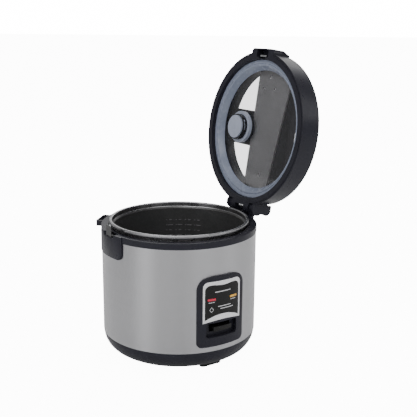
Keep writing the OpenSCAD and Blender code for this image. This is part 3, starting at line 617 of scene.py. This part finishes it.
def glass_piece():
    """Lid glass with ground edges and a hole for the steam vent."""
    bm = bmesh.new()
    hole_x, hole_y, hole_r = 1.5, 44.0, 20.3
    count, ground = 160, 0.4
    heights = (GLASS_Z0, GLASS_Z0 + ground, GLASS_Z1 - ground, GLASS_Z1)
    rim = edge_loops(bm, 0, 0, GLASS_R, -ground, heights, count)
    hole = edge_loops(bm, hole_x, hole_y, hole_r, ground, heights, count)
    strips = list(zip(rim, rim[1:])) + list(zip(hole, hole[1:])) + [(rim[0], hole[0]), (rim[-1], hole[-1])]
    for a, b in strips:
        for k in range(count):
            m = (k + 1) % count
            bm.faces.new([a[k], a[m], b[m], b[k]])
    lid_turned(bm)
    finish_mesh("glass_visual", bm, MATS["clear_glass"], "lid", ["lid_glass"])


def edge_loops(bm, x, y, r, ground, heights, count):
    """Circles up an edge of the glass, the first and last changed in radius by the grinding."""
    loops = []
    for level, z in enumerate(heights):
        size = r + (ground if level in (0, len(heights) - 1) else 0)
        loops.append([bm.verts.new(((x + size * math.cos(2 * math.pi * k / count)) * MM,
                                    (y + size * math.sin(2 * math.pi * k / count)) * MM, z * MM))
                      for k in range(count)])
    return loops


def screw(bm, x, y, z, head_r, head_h, shank_r, length):
    """Pan head facing down, and a threaded shank above it."""
    dome = [(0, z - head_h), (head_r * 0.55, z - head_h), (head_r * 0.86, z - head_h * 0.75),
            (head_r, z - head_h * 0.3), (head_r, z), (shank_r, z)]
    thread = []
    pitch = 0.9
    k = 0
    while z + (k + 1) * pitch < z + length:
        thread += [(shank_r, z + k * pitch + 0.1), (shank_r * 0.84, z + k * pitch + pitch * 0.55)]
        k += 1
    lathe(bm, dome + thread + [(shank_r * 0.4, z + length), (0, z + length)], 40, centre=(x, y))


def recess_shade(bm, x, y, z, reach, width):
    """Black sheet with four arms on a screw's head: painted shade where its recess would be."""
    w = width / 2
    outline = [(x + a, y + b) for a, b in (
        (w, w), (w, reach), (-w, reach), (-w, w), (-reach, w), (-reach, -w),
        (-w, -w), (-w, -reach), (w, -reach), (w, -w), (reach, -w), (reach, w))]
    prism(bm, outline, z - 0.03, z + 0.25)


BAND_SCREWS = ((-82, 0), (-64, -13.5), (-64, 13.5), (69.5, -6))


def band_screw_piece():
    """Four screws of the band, and black sheets on their heads as painted shade for their recesses."""
    bm = bmesh.new()
    marks = bmesh.new()
    head_h = 1.5
    for x, y in BAND_SCREWS:
        screw(bm, x, y, BAND_Z, 3.2, head_h, 1.35, 7.6)
        # Black sheet on the head: painted shade for the screw's recess.
        recess_shade(marks, x, y, BAND_Z - head_h, 1.9, 0.7)
    finish_mesh("band_screw_visual", lid_turned(bm), BRIGHT, "lid", ["band_screws"])
    # These black sheets are painted shade, not real recesses.
    finish_mesh("band_screw_recess_shade", lid_turned(marks), MATS["black_plastic"], "lid", ())


def badge_marks():
    """Plain marks on the badge: dashes under the lamps, a lozenge and three rules."""
    bm = bmesh.new()
    lamp_x, dash, pitch = 18, 2.6, 3.2
    for s in (-1, 1):
        for k in range(3):
            left = s * lamp_x - 4.6 + k * pitch
            strip(bm, left, left + dash, 107.5, 108.6)
    strip(bm, -13, 13, 122.0, 123.4)
    mid_x, mid_z, share = -18, 97.2, 0.78
    lozenge = [(mid_x, 101.2), (-21.4, mid_z), (mid_x, 93.2), (-14.6, mid_z)]
    for k in range(4):
        a, b = lozenge[k], lozenge[(k + 1) % 4]
        inner = [(mid_x + (x - mid_x) * share, mid_z + (z - mid_z) * share) for x, z in (b, a)]
        curved(bm, [a, b] + inner)
    rule_z, apart = 100.4, 3.6
    for k, (x0, x1) in enumerate(((-8, 14), (-4, 18))):
        strip(bm, x0, x1, rule_z - k * apart, rule_z + 1.1 - k * apart)
    finish_mesh("badge_marks", bm, INK, "cooker_body", ())


def strip(bm, x0, x1, z0, z1):
    """Flat bar in lengths short enough to follow the curved face."""
    pieces = max(1, math.ceil((x1 - x0) / 2))
    step = (x1 - x0) / pieces
    for k in range(pieces):
        a, b = x0 + k * step, x0 + (k + 1) * step
        curved(bm, [(a, z0), (b, z0), (b, z1), (a, z1)])


def curved(bm, outline):
    """Flat figure wrapped on the badge's cylinder, given by arc length and height."""
    rings = []
    for r in (BADGE_R - 0.02, BADGE_R + 0.08):
        rings.append([bm.verts.new((r * math.sin(x / BADGE_R) * MM, -r * math.cos(x / BADGE_R) * MM, z * MM))
                      for x, z in outline])
    a, b = rings
    n = len(outline)
    for i in range(n):
        j = (i + 1) % n
        bm.faces.new([a[i], a[j], b[j], b[i]])
    bm.faces.new(a)
    bm.faces.new(list(reversed(b)))


def bare_metal():
    """Uncoated metal of the pot's rim and outside."""
    s = Shader("pot_bare_rim", (0.34, 0.34, 0.35), 0.30, metal=1.0)
    s.tint(s.noise(40, 3), 0.05)
    s.roughen(s.noise(60, 3), 0.05)
    return s.mat


POT_BARE = bare_metal()
MARKS = moulded("mark_print", (0.20, 0.20, 0.21), 0.5)
INK = moulded("badge_print", (0.62, 0.62, 0.64), 0.35)
# The seal's silicone: a darker copy of the pale silicone, painted shade over the whole seal.
GASKET_SHADED = rubbery("gasket_silicone_painted_shade", (0.23, 0.26, 0.34), 0.24)
BRIGHT = plated("bright_screw", (0.88, 0.88, 0.90), 0.22)

shell_piece()
base_piece()
feet_piece()
ring_piece()
pot_piece()
pot_marks()
gasket_piece()
glass_piece()
band_screw_piece()
badge_marks()


# ---------------------------------------------------------------- stage

# Share of the set's brightness that is left when seen through the lid's glass
BEHIND_GLASS = 0.27


def backdrop(tree, level):
    """Whether the camera is looking, and how bright the set looks to it: less so through glass."""
    path = tree.nodes.new("ShaderNodeLightPath")
    veil = tree.nodes.new("ShaderNodeMapRange")
    veil.inputs["To Min"].default_value = level
    veil.inputs["To Max"].default_value = level * BEHIND_GLASS
    tree.links.new(path.outputs["Transparent Depth"], veil.inputs["Value"])
    return path.outputs["Is Camera Ray"], veil.outputs["Result"]


def floor():
    """Pale floor that looks white to the camera but lights the object only softly."""
    size = 40.0
    mesh = bpy.data.meshes.new("floor")
    bm = bmesh.new()
    bmesh.ops.create_grid(bm, x_segments=1, y_segments=1, size=size)
    bm.to_mesh(mesh)
    bm.free()
    ob = bpy.data.objects.new("floor", mesh)
    bpy.context.collection.objects.link(ob)
    s = Shader("floor_white", (0.86, 0.86, 0.86), 0.6, spec=0.2)
    s.tint(s.noise(3, 2), 0.01)
    s.set(Emission_Color=(1, 1, 1, 1))
    gain = s.tree.nodes.new("ShaderNodeMath")
    gain.operation = "MULTIPLY"
    looking, level = backdrop(s.tree, 12.0)
    s.link(looking, gain.inputs[0])
    s.link(level, gain.inputs[1])
    s.link(gain.outputs[0], s.bsdf.inputs["Emission Strength"])
    mesh.materials.append(s.mat)


def area(name, location, target, size, power):
    """Square soft light aimed at a point."""
    light = bpy.data.lights.new(name, "AREA")
    light.energy = power
    light.size = size
    ob = bpy.data.objects.new(name, light)
    bpy.context.collection.objects.link(ob)
    ob.location = location
    ob.rotation_euler = (Vector(target) - Vector(location)).to_track_quat("-Z", "Y").to_euler()


# Brightness of the studio round the camera's direction, in degrees to its right
BANDS = ((-180, 1.0), (-150, 1.0), (-115, 0.5), (-75, 0.45), (-50, 4.2), (-28, 0.35), (-5, 0.35),
         (34, 2.2), (75, 0.45), (125, 0.45), (152, 3.2), (180, 1.0))
CAMERA_AZIMUTH = -31.3


def studio():
    """Soft studio: a world brighter in some directions than others, and three area lights."""
    world = bpy.data.worlds.new("studio")
    bpy.context.scene.world = world
    world.use_nodes = True
    tree = world.node_tree
    dim = tree.nodes["Background"]
    coord = tree.nodes.new("ShaderNodeTexCoord")
    sep = tree.nodes.new("ShaderNodeSeparateXYZ")
    tree.links.new(coord.outputs["Generated"], sep.inputs[0])
    turn = math.radians(CAMERA_AZIMUTH - 90)
    parts = []
    for cx, cy in ((math.cos(turn), math.sin(turn)), (-math.sin(turn), math.cos(turn))):
        m1 = tree.nodes.new("ShaderNodeMath")
        m1.operation = "MULTIPLY"
        m1.inputs[1].default_value = cx
        tree.links.new(sep.outputs["X"], m1.inputs[0])
        m2 = tree.nodes.new("ShaderNodeMath")
        m2.operation = "MULTIPLY_ADD"
        m2.inputs[1].default_value = cy
        tree.links.new(sep.outputs["Y"], m2.inputs[0])
        tree.links.new(m1.outputs[0], m2.inputs[2])
        parts.append(m2.outputs[0])
    angle = tree.nodes.new("ShaderNodeMath")
    angle.operation = "ARCTAN2"
    tree.links.new(parts[1], angle.inputs[0])
    tree.links.new(parts[0], angle.inputs[1])
    unit = tree.nodes.new("ShaderNodeMapRange")
    unit.inputs["From Min"].default_value = -math.pi
    unit.inputs["From Max"].default_value = math.pi
    tree.links.new(angle.outputs[0], unit.inputs["Value"])
    ramp = tree.nodes.new("ShaderNodeValToRGB")
    ramp.color_ramp.interpolation = "EASE"
    stops = ramp.color_ramp.elements
    for k, (degrees, level) in enumerate(BANDS):
        at = degrees / 360 + 0.5
        stop = stops[k] if k < 2 else stops.new(at)
        stop.position = at
        stop.color = (level, level, level, 1)
    tree.links.new(unit.outputs["Result"], ramp.inputs[0])
    tree.links.new(ramp.outputs["Color"], dim.inputs["Color"])
    dim.inputs["Strength"].default_value = 0.64
    bright = tree.nodes.new("ShaderNodeBackground")
    looking, level = backdrop(tree, 20.0)
    tree.links.new(level, bright.inputs["Strength"])
    mix = tree.nodes.new("ShaderNodeMixShader")
    tree.links.new(looking, mix.inputs[0])
    tree.links.new(dim.outputs[0], mix.inputs[1])
    tree.links.new(bright.outputs[0], mix.inputs[2])
    tree.links.new(mix.outputs[0], tree.nodes["World Output"].inputs["Surface"])
    middle = (0.02, 0, 0.2)
    area("key", (-1.4, -1.2, 1.9), middle, 1.2, 16)
    area("fill", (1.5, -1.3, 1.2), middle, 1.0, 8)
    area("rim", (0.9, 1.5, 1.6), middle, 1.0, 12)


def camera():
    """Camera at the fitted place: left of the panel, looking a little down."""
    data = bpy.data.cameras.new("camera")
    ob = bpy.data.objects.new("camera", data)
    bpy.context.collection.objects.link(ob)
    bpy.context.scene.camera = ob
    data.sensor_width = 36
    data.lens = 67.06
    data.clip_start = 0.05
    data.clip_end = 20
    azimuth = math.radians(CAMERA_AZIMUTH)
    away, height = 1.1208, 0.4938
    place = Vector((math.sin(azimuth) * away, -math.cos(azimuth) * away, height))
    heading = math.atan2(-place.y, -place.x) - math.radians(2.2285)
    pitch = math.radians(13.922)
    roll = math.radians(0.525)
    level = math.cos(pitch)
    look = Vector((math.cos(heading) * level, math.sin(heading) * level, -math.sin(pitch)))
    turn = look.to_track_quat("-Z", "Y").to_matrix().to_4x4() @ Matrix.Rotation(roll, 4, "Z")
    ob.matrix_world = Matrix.Translation(place) @ turn


floor()
studio()
camera()
